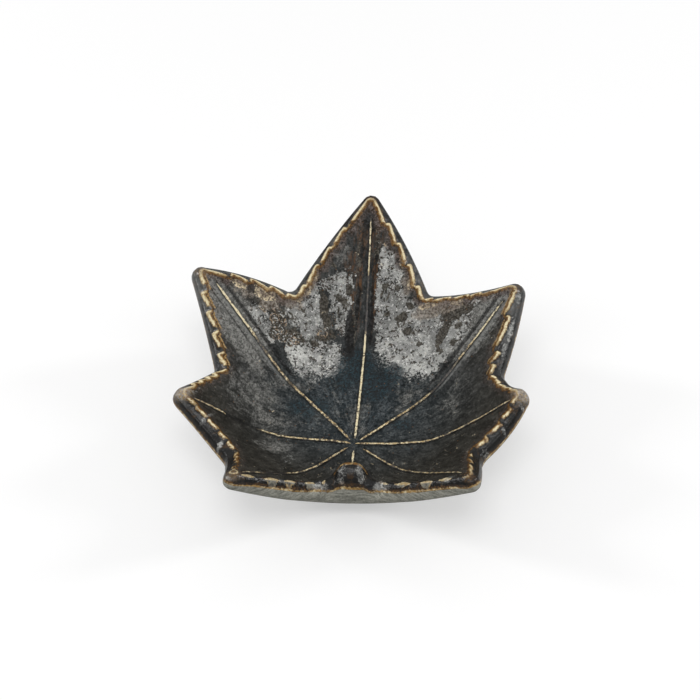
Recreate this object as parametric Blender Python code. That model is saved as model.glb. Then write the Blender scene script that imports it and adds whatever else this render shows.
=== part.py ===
"""Leaf dish: a thick stoneware leaf pressed into a round bowl, with seven raised veins, a stalk vein and a foot ring.

Metres, +Z up. The leaf's long lobe points along +Y. While the pieces are made, x = y = z = 0 is the point on the
bowl's floor where the veins meet; at the end the whole dish is set down with the middle of its outline over the
world's origin and its foot on z = 0.
"""

import math

import bmesh
import bpy
from mathutils import Vector
from mathutils.bvhtree import BVHTree

# Leaf outline, seen from above
LEAF_REACH = 0.0818  # from where the veins meet to the tip of the long lobe
TIP_ROUND = 0.0022  # length along each side that a tip's rounding takes up
NOTCH_ROUND = 0.0030
SHOULDER_ROUND = 0.0026  # where the front sides turn into the notch for the stalk
SINUS_ROUND = 0.0030
ROUND_LIMIT_SHARE = 0.42  # the most of a side that one corner's rounding takes up
SIDE_STEP = 0.0046  # longest straight stretch along a side

# Bowl
FLOOR_RADIUS = 0.0275
FLOOR_CENTRE_BACK = 0.0080  # from where the veins meet to the middle of the floor
FLOOR_CENTRE_LEFT = 0.0013
FLOOR_HOLLOW = 0.0006  # how far the floor would dip below its edge if it dipped evenly
HOLLOW_EASING = 0.3  # how much the dip levels out towards the edge
WALL_BEND = 0.0030  # the width over which the floor turns up into the wall
WALL_RISE_SHARE = 0.81  # rise of the wall over its run
FRONT_STRETCH_SHARE = 0.91  # the bowl is a little shorter in front than at its sides
BACK_STRETCH_SHARE = 1.17

# Clay and rim
CLAY_THICKNESS = 0.0062  # near the tips
FLOOR_THICKENING = 0.0018  # extra clay under the floor
THICKENING_BLEND = 0.0080  # the width over which the extra clay fades out, past the floor's edge
RIM_LAP = 0.0020  # how far the cut edge runs out past the inner margin
SHOULDER_LAP = 0.0016  # the same on either side of the stalk's notch
LIP_BULGE = 0.0010  # how far the edge in front of the notch bulges past a straight line
LIP_FULLNESS = 6  # how soon past a shoulder the edge takes the lip's section

# Veins
VEIN_WIDTH = 0.0010
VEIN_TIP_WIDTH = 0.0006
VEIN_HEIGHT = 0.0005
VEIN_STEP = 0.0030
VEIN_START = 0.0022  # from where the veins meet to the near end of a vein
FRONT_VEIN_START = 0.0034

# Foot
FOOT_RADIUS = 0.0215
FOOT_WIDTH = 0.0050
FOOT_HEIGHT = 0.0052  # from the table to the underside of the floor
FOOT_EDGE = 0.0010  # the rounding at its lower edges
FOOT_SIDES = 48

SEAT_GAP = 0.0003  # between pieces that touch on the real dish
SHARP_DEGREES = 40  # faces that meet at more than this are shaded with an edge between them

# Corners of the leaf, clockwise from the long lobe: name, direction in degrees from +Y towards +X, share of
# LEAF_REACH, and how far the side that follows bows out, as a share of its length.
CORNER_SHARES = (
    ("tip", 0.3, 1.000, 0.01),
    ("notch", 21.0, 0.672, -0.01),
    ("tip", 46.9, 0.822, 0.02),
    ("notch", 66.4, 0.562, -0.08),
    ("tip", 82.4, 0.630, 0.08),
    ("notch", 108.4, 0.474, 0.02),
    ("tip", 126.4, 0.562, 0.02),
    ("shoulder", 156.1, 0.209, 0.00),
    ("sinus", 172.5, 0.110, 0.00),
    ("sinus", 202.6, 0.116, 0.00),
    ("shoulder", 202.8, 0.220, 0.02),
    ("tip", 229.8, 0.555, -0.02),
    ("notch", 246.2, 0.468, 0.00),
    ("tip", 270.2, 0.650, 0.02),
    ("notch", 293.3, 0.568, 0.01),
    ("tip", 311.4, 0.870, 0.03),
    ("notch", 335.3, 0.681, 0.03),
)
CORNER_ROUNDS = {"tip": TIP_ROUND, "notch": NOTCH_ROUND, "shoulder": SHOULDER_ROUND, "sinus": SINUS_ROUND}
CORNER_LAPS = {"tip": RIM_LAP, "notch": RIM_LAP, "shoulder": SHOULDER_LAP, "sinus": SHOULDER_LAP}
STALK_CORNERS = ("shoulder", "sinus")
ROUNDING_STEPS = 3

# Veins: name, direction of the far end, share of LEAF_REACH at which each ends, and how far it bows to its
# right-hand side on the way, as a share of that
VEIN_SHARES = (
    ("centre_vein", 0.5, 0.940, 0.004),
    ("back_right_vein", 46.9, 0.765, 0.012),
    ("side_right_vein", 84.0, 0.600, 0.022),
    ("front_right_vein", 125.0, 0.515, 0.000),
    ("front_left_vein", 229.6, 0.515, -0.012),
    ("side_left_vein", 270.0, 0.615, 0.016),
    ("back_left_vein", 312.9, 0.805, 0.020),
    ("stalk_vein", 181.0, 0.098, 0.000),
)
# A vein's cross section, as shares of its half width and of its height
VEIN_SECTION_SHARES = ((-1.0, 0.0), (-0.75, 0.65), (0.0, 1.0), (0.75, 0.65), (1.0, 0.0))

# Rings of the bowl between its middle and its margin, as shares of the way out
INNER_RING_SHARES = (0.18, 0.30, 0.38, 0.46, 0.53, 0.60, 0.67, 0.74, 0.81, 0.87, 0.94)
OUTER_RING_SHARES = (0.20, 0.34, 0.46, 0.57, 0.68, 0.79, 0.90)
# The cut edge, from the inner margin to the underside, as shares of its way out and of the clay's thickness
RIM_SECTION_SHARES = ((0.0, 0.0), (0.45, 0.08), (0.92, 0.30), (1.0, 0.54), (0.64, 0.84), (-0.10, 1.0))
LIP_SECTION_SHARES = ((0.0, 0.0), (0.38, -0.14), (0.78, -0.07), (0.95, 0.10), (1.06, 0.55), (1.04, 1.02))


def material(name, colour, roughness):
    """A Principled material in one colour."""
    made = bpy.data.materials.new(name)
    made.use_nodes = True
    shader = made.node_tree.nodes["Principled BSDF"]
    shader.inputs["Base Color"].default_value = (*colour, 1.0)
    shader.inputs["Roughness"].default_value = roughness
    shader.inputs["Metallic"].default_value = 0.0
    return made


def spread(x, y):
    """Distance from the middle of the floor, evened out so that the bowl's level lines are circles."""
    across = x + FLOOR_CENTRE_LEFT
    along = y - FLOOR_CENTRE_BACK
    stretch_share = BACK_STRETCH_SHARE if along > 0 else FRONT_STRETCH_SHARE
    return math.hypot(across, along / stretch_share)


def rise(distance):
    """Height of the bowl over the middle of its floor: a shallow dip, a bend and a straight flared wall."""
    over_edge = (distance - FLOOR_RADIUS) / WALL_BEND
    turn = max(over_edge, 0.0) + math.log1p(math.exp(-abs(over_edge)))
    dip = (distance / FLOOR_RADIUS) ** 2
    return WALL_RISE_SHARE * WALL_BEND * turn + FLOOR_HOLLOW * dip / (1.0 + HOLLOW_EASING * dip)


def bowl_point(x, y):
    """A point of the inner surface, level with z = 0 where the veins meet."""
    return Vector((x, y, rise(spread(x, y)) - rise(spread(0.0, 0.0))))


def bowl_normal(x, y):
    """Unit normal of the inner surface, pointing up out of the clay."""
    reach = SEAT_GAP
    slope_x = (bowl_point(x + reach, y).z - bowl_point(x - reach, y).z) / (2 * reach)
    slope_y = (bowl_point(x, y + reach).z - bowl_point(x, y - reach).z) / (2 * reach)
    return Vector((-slope_x, -slope_y, 1.0)).normalized()


def clay_depth(x, y):
    """Thickness of the clay, which is more under the floor than in the wall."""
    past_floor = (spread(x, y) - FLOOR_RADIUS) / THICKENING_BLEND
    return CLAY_THICKNESS + FLOOR_THICKENING / (1.0 + math.exp(past_floor))


def towards(degrees, distance):
    """A point seen from above, at a direction from +Y towards +X."""
    return Vector((distance * math.sin(math.radians(degrees)), distance * math.cos(math.radians(degrees))))


def beside(corner, neighbour, distance):
    """The place on a side where the rounding of its corner ends."""
    side = neighbour - corner
    return corner + side.normalized() * min(distance, side.length * ROUND_LIMIT_SHARE)


def leaf_outline():
    """The inner margin seen from above, clockwise: (point, lap of the cut edge there, whether it is in the notch for
    the stalk)."""
    corners = [towards(degrees, share * LEAF_REACH) for _, degrees, share, _ in CORNER_SHARES]
    outline = []
    count = len(corners)
    for i, (kind, _, _, bow_share) in enumerate(CORNER_SHARES):
        before, here, after = corners[i - 1], corners[i], corners[(i + 1) % count]
        after_kind = CORNER_SHARES[(i + 1) % count][0]
        start = beside(here, before, CORNER_ROUNDS[kind])
        end = beside(here, after, CORNER_ROUNDS[kind])
        for step in range(ROUNDING_STEPS + 1):
            t = step / ROUNDING_STEPS
            rounded = start * (1 - t) ** 2 + here * 2 * t * (1 - t) + end * t * t
            outline.append((rounded, CORNER_LAPS[kind], kind in STALK_CORNERS))
        side = beside(after, here, CORNER_ROUNDS[after_kind]) - end
        in_notch = kind in STALK_CORNERS and after_kind in STALK_CORNERS
        outward = Vector((-side.y, side.x))
        pieces = max(1, math.ceil(side.length / SIDE_STEP))
        for step in range(1, pieces):
            t = step / pieces
            lap = CORNER_LAPS[kind] * (1 - t) + CORNER_LAPS[after_kind] * t
            outline.append((end + side * t + outward * bow_share * 4 * t * (1 - t), lap, in_notch))
    return outline


def rim_ways(outline):
    """At each margin point, the way out to the cut edge, the way down through the clay, and how far the edge is a
    broad lip, from 0 to 1. The way out is square to the margin in the wall's own plane. In the notch for the stalk it
    ends on a gentle arc from one shoulder to the other, so the outside of the dish passes the notch unbroken."""
    ways = []
    for i, (point, lap, _) in enumerate(outline):
        before, after = outline[i - 1][0], outline[(i + 1) % len(outline)][0]
        up = bowl_normal(*point)
        square = up.cross(bowl_point(*after) - bowl_point(*before)).normalized()
        ways.append([square * lap, -up * clay_depth(*point), 0.0])
    lip = [i for i, (_, _, in_notch) in enumerate(outline) if in_notch]
    first, last = [bowl_point(*outline[i][0]) + ways[i][0] for i in (lip[0], lip[-1])]
    across = last - first
    bulge = Vector((across.y, -across.x, 0.0)).normalized() * LIP_BULGE
    for i in lip:
        place = bowl_point(*outline[i][0])
        t = min(max((place - first).dot(across) / across.length_squared, 0.0), 1.0)
        lip_share = 1.0 - (1.0 - 4 * t * (1 - t)) ** LIP_FULLNESS
        goal = first + across * t - bulge * 4 * t * (1 - t)
        goal.z = (goal.z + place.z) / 2
        way_down = Vector((0.0, 0.0, -clay_depth(*outline[i][0])))
        ways[i] = [goal - place, ways[i][1].lerp(way_down, lip_share), lip_share]
    return ways


def leaf_body(clay):
    """The leaf: rings of the inner surface, the rounded cut edge and rings of the underside, closed at both middles."""
    outline = leaf_outline()
    middle = Vector((-FLOOR_CENTRE_LEFT, FLOOR_CENTRE_BACK))
    ways = rim_ways(outline)
    mesh = bmesh.new()

    def inner(point):
        return bowl_point(*point)

    def under(point):
        return bowl_point(*point) - bowl_normal(*point) * clay_depth(*point)

    def ring(share, surface):
        return [mesh.verts.new(surface(middle.lerp(point, share))) for point, _, _ in outline]

    rings = [ring(share, inner) for share in INNER_RING_SHARES]
    for rim_shares, lip_shares in zip(RIM_SECTION_SHARES, LIP_SECTION_SHARES):
        edge = []
        for (point, _, _), (out, down, lip_share) in zip(outline, ways):
            out_share, down_share = Vector(rim_shares).lerp(Vector(lip_shares), lip_share)
            edge.append(mesh.verts.new(bowl_point(*point) + out * out_share + down * down_share))
        rings.append(edge)
    rings += [ring(share, under) for share in reversed(OUTER_RING_SHARES)]
    for first, second in zip(rings, rings[1:]):
        for i in range(len(first)):
            mesh.faces.new((first[i - 1], first[i], second[i], second[i - 1]))
    for end_ring, surface in ((rings[0], inner), (rings[-1], under)):
        hub = mesh.verts.new(surface(middle))
        for i in range(len(end_ring)):
            mesh.faces.new((end_ring[i - 1], end_ring[i], hub))
    bmesh.ops.recalc_face_normals(mesh, faces=mesh.faces)
    bmesh.ops.triangulate(mesh, faces=mesh.faces)
    return finished(mesh, "leaf_body", clay)


def finished(mesh, name, clay):
    """Turn a bmesh into a smooth-shaded object with its material."""
    data = bpy.data.meshes.new(name)
    mesh.to_mesh(data)
    mesh.free()
    data.shade_smooth()
    data.set_sharp_from_angle(angle=math.radians(SHARP_DEGREES))
    data.materials.append(clay)
    made = bpy.data.objects.new(name, data)
    bpy.context.collection.objects.link(made)
    return made


def surface_tree(body):
    """A search tree of a body's faces, so that other pieces can be seated on it."""
    mesh = bmesh.new()
    mesh.from_mesh(body.data)
    tree = BVHTree.FromBMesh(mesh)
    mesh.free()
    return tree


def height_on(tree, x, y, downward):
    """Height of the body at a place, met from above or from below."""
    clear = LEAF_REACH
    start = Vector((x, y, clear if downward else -clear))
    heading = Vector((0.0, 0.0, -1.0 if downward else 1.0))
    return tree.ray_cast(start, heading)[0].z


def vein(name, degrees, end_share, bow_share, tree, glaze):
    """One raised line: a low rounded strip that lies along the bowl and narrows towards its tip."""
    start = FRONT_VEIN_START if 90 < degrees < 270 else VEIN_START
    end = end_share * LEAF_REACH
    count = max(2, math.ceil((end - start) / VEIN_STEP))
    mesh = bmesh.new()
    rings = []
    for step in range(count + 1):
        t = step / count
        aside = towards(degrees + 90, bow_share * end * 4 * t * (1 - t))
        place = towards(degrees, start + (end - start) * t) + aside
        up = bowl_normal(*place)
        ahead = towards(degrees, 1.0).to_3d()
        across = ahead.cross(up).normalized()
        half = (VEIN_WIDTH * (1 - t) + VEIN_TIP_WIDTH * t) / 2
        seat = Vector((place.x, place.y, height_on(tree, place.x, place.y, True))) + up * SEAT_GAP
        ring = []
        for width_share, height_share in VEIN_SECTION_SHARES:
            ring.append(mesh.verts.new(seat + across * half * width_share + up * VEIN_HEIGHT * height_share))
        rings.append(ring)
    for first, second in zip(rings, rings[1:]):
        for i in range(len(first)):
            mesh.faces.new((first[i - 1], first[i], second[i], second[i - 1]))
    mesh.faces.new(rings[0])
    mesh.faces.new(rings[-1])
    bmesh.ops.recalc_face_normals(mesh, faces=mesh.faces)
    bmesh.ops.triangulate(mesh, faces=mesh.faces)
    return finished(mesh, name, glaze)


def foot_ring(tree, clay):
    """The ring under the floor: flat where it stands, and shaped above to the underside that it is luted to."""
    table = height_on(tree, -FLOOR_CENTRE_LEFT, FLOOR_CENTRE_BACK, False) - FOOT_HEIGHT
    inner = FOOT_RADIUS - FOOT_WIDTH
    mesh = bmesh.new()
    rings = []
    for radius, height in (
        (inner, None),
        (inner, FOOT_EDGE),
        (inner + FOOT_EDGE, 0.0),
        (FOOT_RADIUS - FOOT_EDGE, 0.0),
        (FOOT_RADIUS, FOOT_EDGE),
        (FOOT_RADIUS, None),
        (FOOT_RADIUS - FOOT_WIDTH / 2, None),
    ):
        ring = []
        for i in range(FOOT_SIDES):
            turn = 2 * math.pi * i / FOOT_SIDES
            x = radius * math.cos(turn) - FLOOR_CENTRE_LEFT
            y = radius * math.sin(turn) + FLOOR_CENTRE_BACK
            z = height_on(tree, x, y, False) - SEAT_GAP if height is None else table + height
            ring.append(mesh.verts.new((x, y, z)))
        rings.append(ring)
    rings.append(rings[0])
    for first, second in zip(rings, rings[1:]):
        for i in range(FOOT_SIDES):
            mesh.faces.new((first[i - 1], first[i], second[i], second[i - 1]))
    bmesh.ops.recalc_face_normals(mesh, faces=mesh.faces)
    bmesh.ops.triangulate(mesh, faces=mesh.faces)
    return finished(mesh, "foot_ring", clay)


def set_down(pieces):
    """Hang every piece from one empty, and move it so that the dish stands on z = 0 under its outline's middle."""
    corners = [vertex.co for piece in pieces for vertex in piece.data.vertices]
    middle_x = (min(c.x for c in corners) + max(c.x for c in corners)) / 2
    middle_y = (min(c.y for c in corners) + max(c.y for c in corners)) / 2
    dish = bpy.data.objects.new("dish", None)
    bpy.context.collection.objects.link(dish)
    dish.location = (-middle_x, -middle_y, -min(c.z for c in corners))
    for piece in pieces:
        piece.parent = dish
    print("veins meet at", [round(value, 5) for value in dish.location])


def main():
    for old in list(bpy.data.objects):
        bpy.data.objects.remove(old, do_unlink=True)
    glazed = material("dark_glaze", (0.035, 0.040, 0.042), 0.30)
    bare = material("bare_stoneware", (0.17, 0.17, 0.16), 0.85)
    line = material("cream_glaze_line", (0.62, 0.50, 0.32), 0.45)
    body = leaf_body(glazed)
    tree = surface_tree(body)
    pieces = [body, foot_ring(tree, bare)]
    for name, degrees, end_share, bow_share in VEIN_SHARES:
        pieces.append(vein(name, degrees, end_share, bow_share, tree, line))
    set_down(pieces)
    for piece in pieces:
        print(piece.name, len(piece.data.polygons), "triangles")


main()
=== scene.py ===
import math

import bpy
import numpy as np
from mathutils import Matrix, Vector, kdtree, noise


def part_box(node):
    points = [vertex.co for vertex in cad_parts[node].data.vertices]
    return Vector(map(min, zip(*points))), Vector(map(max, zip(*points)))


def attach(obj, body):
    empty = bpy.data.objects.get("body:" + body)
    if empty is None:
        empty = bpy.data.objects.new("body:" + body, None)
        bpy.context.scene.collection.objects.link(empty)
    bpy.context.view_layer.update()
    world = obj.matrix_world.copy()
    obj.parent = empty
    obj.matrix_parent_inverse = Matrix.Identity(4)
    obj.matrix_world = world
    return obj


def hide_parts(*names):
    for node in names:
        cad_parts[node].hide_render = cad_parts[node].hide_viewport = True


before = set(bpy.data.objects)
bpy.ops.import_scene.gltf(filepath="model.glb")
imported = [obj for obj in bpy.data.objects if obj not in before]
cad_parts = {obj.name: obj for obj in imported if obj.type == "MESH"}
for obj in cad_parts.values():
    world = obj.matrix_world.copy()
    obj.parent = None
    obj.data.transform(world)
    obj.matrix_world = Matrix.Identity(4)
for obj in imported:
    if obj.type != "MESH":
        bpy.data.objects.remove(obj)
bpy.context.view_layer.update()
mm = 0.001

# The dish is laid out in millimetres from the point on its floor where the veins meet.
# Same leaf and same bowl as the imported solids, only finer.
leaf = {
    "reach": 81.8,
    "floorRadius": 27.5, "floorBack": 8.0, "floorLeft": 1.3, "hollow": 0.6, "hollowEasing": 0.3,
    "wallBend": 3.0, "wallSlope": 0.81, "frontStretch": 0.91, "backStretch": 1.17,
    "clay": 6.2, "floorClay": 1.8, "clayFade": 8.0, "footDrop": 5.2,
    "lap": 2.0, "notchLap": 1.6, "lipBulge": 1.0, "lipFullness": 6,
    "roundLimit": 0.42, "cornerSteps": 24, "sideStep": 0.15,
    "sampleStep": 0.52, "ringsInside": 46, "ringsNearEdge": 20, "ringsUnder": 20, "rimSteps": 20,
    "topSteps": 12, "middleShare": 0.03, "edgeShare": 0.90, "underShare": 0.955,
}
cornerRound = {"tip": 2.2, "notch": 3.0, "shoulder": 2.6, "sinus": 3.0}

# kind, direction clockwise from the long lobe, share of the reach, bow of the side that follows
corners = (
    ("tip", 0.3, 1.008, 0.035), ("notch", 21.0, 0.672, -0.01),
    ("tip", 46.9, 0.828, 0.02), ("notch", 66.4, 0.562, -0.08),
    ("tip", 82.4, 0.630, 0.05), ("notch", 108.4, 0.472, 0.02),
    ("tip", 126.2, 0.556, 0.02), ("shoulder", 155.0, 0.212, 0.00),
    ("sinus", 157.5, 0.115, 0.00), ("sinus", 206.1, 0.128, 0.00),
    ("shoulder", 204.2, 0.219, 0.02), ("tip", 229.6, 0.550, -0.02),
    ("notch", 246.2, 0.466, -0.035), ("tip", 271.4, 0.655, 0.00),
    ("notch", 293.6, 0.558, -0.01), ("tip", 311.4, 0.870, 0.06),
    ("notch", 336.0, 0.679, 0.03),
)
# the rim's section: shares of the lap outwards and of the clay's depth downwards
rimShape = ((0, 0), (0.45, 0.08), (0.92, 0.30), (1.0, 0.54), (0.70, 0.86), (-0.10, 1.0))
lipShape = ((0, 0), (0.38, -0.14), (0.78, -0.07), (0.95, 0.10), (1.06, 0.55), (1.04, 1.02))

# The serrated line along each side: where its teeth step out, as shares from the lobe's tip,
# and how far out and how far in it swings from the margin.
# The front has no line, only pale tongues: share from the tip, half width, length.
teeth = {
    0: {"steps": (0.26, 0.45, 0.65, 0.85), "out": 1.0, "into": -0.6, "halo": 1.0},
    1: {"steps": (0.37, 0.50, 0.70, 0.90), "out": 1.3, "into": 0.2, "halo": 0.9},
    2: {"steps": (0.32, 0.71, 0.85), "out": 0.8, "into": -1.2, "glow": 0.8, "twin": 0.6, "fall": 1.3},
    3: {"steps": (0.25, 0.45, 0.65, 0.85), "out": 1.1, "into": 0.3},
    4: {"steps": (0.20, 0.44, 0.70), "out": 1.0, "into": 0.1, "glow": 0.55, "fall": 1.3},
    5: {"steps": (0.26, 0.50, 0.76), "out": 0.7, "into": 0.0, "glow": 0.35, "fall": 1.3},
    6: {"length": 32.0, "tongues": (
        (0.018, 1.6, 0.5), (0.229, 2.8, 0.7), (0.42, 2.1, 2.4), (0.674, 3.0, 1.3), (0.875, 1.7, 1.0))},
    10: {"length": 31.5, "tongues": (
        (0.147, 2.6, 0.5), (0.382, 2.6, 3.6), (0.564, 1.9, 2.6), (0.794, 1.8, 3.4), (0.959, 0.8, 1.0))},
    11: {"steps": (0.22, 0.42, 0.60, 0.80), "out": 0.8, "into": -0.2, "glow": 0.3},
    12: {"steps": (0.23, 0.43, 0.62, 0.80), "out": 0.5, "into": -0.2, "glow": 0.55, "fall": 1.4},
    13: {"steps": (0.26, 0.42, 0.57, 0.73), "out": 2.0, "into": 0.2, "fall": 0.5},
    14: {"steps": (0.21, 0.395, 0.60, 0.81), "out": 1.7, "into": 0.3, "twin": 1.0, "fall": 1.4},
    15: {"steps": (0.31, 0.51, 0.71, 0.89), "out": 1.2, "into": -0.5, "halo": 1.0},
    16: {"steps": (0.31, 0.505, 0.674, 0.87), "out": 1.2, "into": 0.1, "halo": 1.0},
}
rim = {
    "stepDown": 0.75, "stepWidth": 0.45, "bead": 0.16, "beadWide": 0.5, "tipReach": 0.9,
    "wobble": 0.16, "wobbleSize": 1.3, "halo": 0.35, "fall": 0.85, "fallFrom": 0.60, "fallOver": 0.3,
    "fadeFrom": 0.16, "fadeOver": 0.24,
}
farOff = 9.0  # a distance that counts as nowhere near the line

# how far down the cut edge the glaze runs: all the way at the sides, halfway at the front, not on the lip
glazeLine = {"side": 0.84, "front": 0.43, "lip": 0.11, "turn": 4.0}
wallEven = {"middle": 0.4, "half": 20.0, "fade": 6.0, "core": 1.5, "ends": 7.0, "down": 0.40, "over": 0.35}
# the stub of the stalk that bulges out of the notch
stub = {
    "middle": -0.2, "half": 4.8, "up": 4.6, "out": 0.6, "squareness": 2.2, "dome": 0.6,
    "valley": 0.7, "valleyAt": 1.38, "valleyWide": 0.34, "low": 0.13, "high": 0.58, "archWide": 0.05,
}


def unit(v):
    return v / np.maximum(np.linalg.norm(v, axis=-1, keepdims=True), 1e-9)


def polar(degrees, distance):
    turn = math.radians(degrees)
    return np.array([distance * math.sin(turn), distance * math.cos(turn)])


def smooth(t):
    t = np.clip(t, 0, 1)
    return t * t * (3 - 2 * t)


def flatten(xy):
    return np.column_stack([xy, np.zeros(len(xy))])


def handMade(points, size, seed):
    # the slow unevenness of hand work
    return np.array([noise.noise(Vector(p) / size + Vector((seed, 0, 0))) for p in points])


def spread(x, y):
    along = y - leaf["floorBack"]
    stretch = np.where(along > 0, leaf["backStretch"], leaf["frontStretch"])
    return np.hypot(x + leaf["floorLeft"], along / stretch)


def rise(distance):
    # a floor that dips a little, and past it a wall that turns up into an even slope
    turn = np.logaddexp(0.0, (distance - leaf["floorRadius"]) / leaf["wallBend"])
    dip = (distance / leaf["floorRadius"]) ** 2
    floor = leaf["hollow"] * dip / (1 + leaf["hollowEasing"] * dip)
    return leaf["wallSlope"] * leaf["wallBend"] * turn + floor


meetHeight = rise(spread(np.float64(0), np.float64(0)))


def bowlPoint(xy):
    return np.column_stack([xy, rise(spread(xy[:, 0], xy[:, 1])) - meetHeight])


def bowlNormal(xy):
    h = 0.3
    slopes = [(bowlPoint(xy + d)[:, 2] - bowlPoint(xy - d)[:, 2]) / (2 * h) for d in np.eye(2) * h]
    return unit(np.column_stack([-slopes[0], -slopes[1], np.ones(len(xy))]))


def clayDepth(xy):
    past = (spread(xy[:, 0], xy[:, 1]) - leaf["floorRadius"]) / leaf["clayFade"]
    return leaf["clay"] + leaf["floorClay"] / (1 + np.exp(past))


# Where the dish stands: its foot is centred under the floor
footLow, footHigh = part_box("foot_ring")
footCentre = (footLow + footHigh) / 2
floorMiddle = np.array([[-leaf["floorLeft"], leaf["floorBack"]]])
middle = floorMiddle[0]
meet = np.array([
    footCentre.x / mm + leaf["floorLeft"],
    footCentre.y / mm - leaf["floorBack"],
    footLow.z / mm + leaf["footDrop"] + clayDepth(floorMiddle)[0] - bowlPoint(floorMiddle)[0, 2],
])
print("veins meet at", meet.round(3))


def addObject(name, data):
    piece = bpy.data.objects.new(name, data)
    bpy.context.scene.collection.objects.link(piece)
    return piece


def makeMesh(name, points, faces, material):
    data = bpy.data.meshes.new(name)
    data.from_pydata((np.asarray(points) + meet) * mm, [], faces)
    data.validate()
    data.shade_smooth()
    data.materials.append(material)
    return addObject(name, data)


def paintOn(piece, name, values):
    made = piece.data.attributes.new(name, "FLOAT", "POINT")
    made.data.foreach_set("value", np.asarray(values, np.float32))


def gridFaces(rings, across):
    i = np.arange(across)
    rows = np.arange(rings - 1)[:, None] * across
    a, b = rows + i, rows + (i + 1) % across
    return np.stack([a, b, b + across, a + across], -1).reshape(-1, 4).tolist()


def leafOutline():
    # the margin all the way round: its points, lap, whether in the notch, side and share of that side
    places = [polar(degrees, share * leaf["reach"]) for _, degrees, share, _ in corners]
    count = len(corners)
    points, laps, notches, sides, alongs = [], [], [], [], []

    def shortOf(corner, neighbour, distance):
        side = neighbour - corner
        length = np.linalg.norm(side)
        return corner + side / length * min(distance, length * leaf["roundLimit"])

    def add(point, lap, inNotch, side):
        chord = places[(side + 1) % count] - places[side]
        share = np.dot(point - places[side], chord) / np.dot(chord, chord)
        for group, value in zip((points, laps, notches, sides, alongs), (point, lap, inNotch, side, share)):
            group.append(value)

    def atStalk(kind):
        return kind in ("shoulder", "sinus")

    for i, (kind, _, _, bow) in enumerate(corners):
        here, before, after = places[i], places[i - 1], places[(i + 1) % count]
        afterKind = corners[(i + 1) % count][0]
        lap, afterLap = (leaf["notchLap"] if atStalk(k) else leaf["lap"] for k in (kind, afterKind))
        start = shortOf(here, before, cornerRound[kind])
        end = shortOf(here, after, cornerRound[kind])
        for t in np.linspace(0, 1, leaf["cornerSteps"]):
            rounded = start * (1 - t) ** 2 + here * 2 * t * (1 - t) + end * t * t
            add(rounded, lap, atStalk(kind), i if t >= 0.5 else (i - 1) % count)
        side = shortOf(after, here, cornerRound[afterKind]) - end
        outward = np.array([-side[1], side[0]])
        pieces = max(2, int(np.linalg.norm(side) / leaf["sideStep"]))
        for t in np.arange(1, pieces) / pieces:
            point = end + side * t + outward * bow * 4 * t * (1 - t)
            add(point, lap * (1 - t) + afterLap * t, atStalk(kind) and atStalk(afterKind), i)
    return [np.array(group) for group in (points, laps, notches, sides, alongs)]


def rimMarks(sides, alongs, points, notches):
    # what the glaze does along the rim: the line's swing, its brightness and halo, and the pale tongues
    marks = {name: np.zeros(len(sides)) for name in ("swing", "glow", "twin", "half", "deep")}
    marks["plain"] = np.array([n or "tongues" in teeth.get(s, ()) for n, s in zip(notches, sides)], float)
    marks["halo"] = np.full(len(sides), rim["halo"])
    marks["gap"] = np.full(len(sides), farOff)
    for n, (side, along) in enumerate(zip(sides, alongs)):
        if side not in teeth:
            continue
        t = teeth[side]
        marks["halo"][n], marks["twin"][n] = t.get("halo", rim["halo"]), t.get("twin", 0.0)
        fromTip = along if corners[side][0] == "tip" else 1 - along
        fromTip = min(max(fromTip, 0), 1)
        if "tongues" in t:
            gap, half, deep = min(
                (abs(fromTip - at) * t["length"] - half, half, deep) for at, half, deep in t["tongues"])
            marks["gap"][n], marks["half"][n], marks["deep"][n] = gap + half, half, deep
        else:
            steps = (0.0,) + t["steps"] + (1.0,)
            k = max(m for m in range(len(steps) - 1) if steps[m] <= fromTip)
            q = (fromTip - steps[k]) / (steps[k + 1] - steps[k])
            into = t["into"] if k < len(steps) - 2 else min(t["into"], 0.0) * 0.5
            first = rim["tipReach"] if k == 0 else t["out"]
            marks["swing"][n] = first + (into - first) * (0.35 * q + 0.65 * q ** 2.2)
            fall = t.get("fall", rim["fall"]) * float(smooth((q - rim["fallFrom"]) / rim["fallOver"]))
            marks["glow"][n] = t.get("glow", 1.0) * (1 - fall)
    marks["swing"] += rim["wobble"] * handMade(flatten(points), rim["wobbleSize"], 5.0)
    return marks


def ringSmooth(values, sigma, weight=1.0):
    reach = int(sigma * 3) + 1
    kernel = np.exp(-0.5 * (np.arange(-reach, reach + 1) / sigma) ** 2)
    kernel /= kernel.sum()
    wrapped = np.concatenate([values[-reach:], values, values[:reach]])
    columns = wrapped.reshape(len(wrapped), -1).T
    out = np.stack([np.convolve(column, kernel, "valid") for column in columns], -1).reshape(values.shape)
    return values * (1 - weight) + out * weight


def curveAt(shape, count):
    # smooth curve through the given section points
    p = np.array(shape, float)
    p = np.vstack([2 * p[0] - p[1], p, 2 * p[-1] - p[-2]])
    out = []
    for u in np.linspace(0, len(shape) - 1, count):
        k = min(int(u), len(shape) - 2)
        t = u - k
        a, b, c, d = p[k:k + 4]
        bend = (2 * a - 5 * b + 4 * c - d) * t ** 2 + (3 * b - a - 3 * c + d) * t ** 3
        out.append(0.5 * (2 * b + (c - a) * t + bend))
    return np.array(out)


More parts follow.
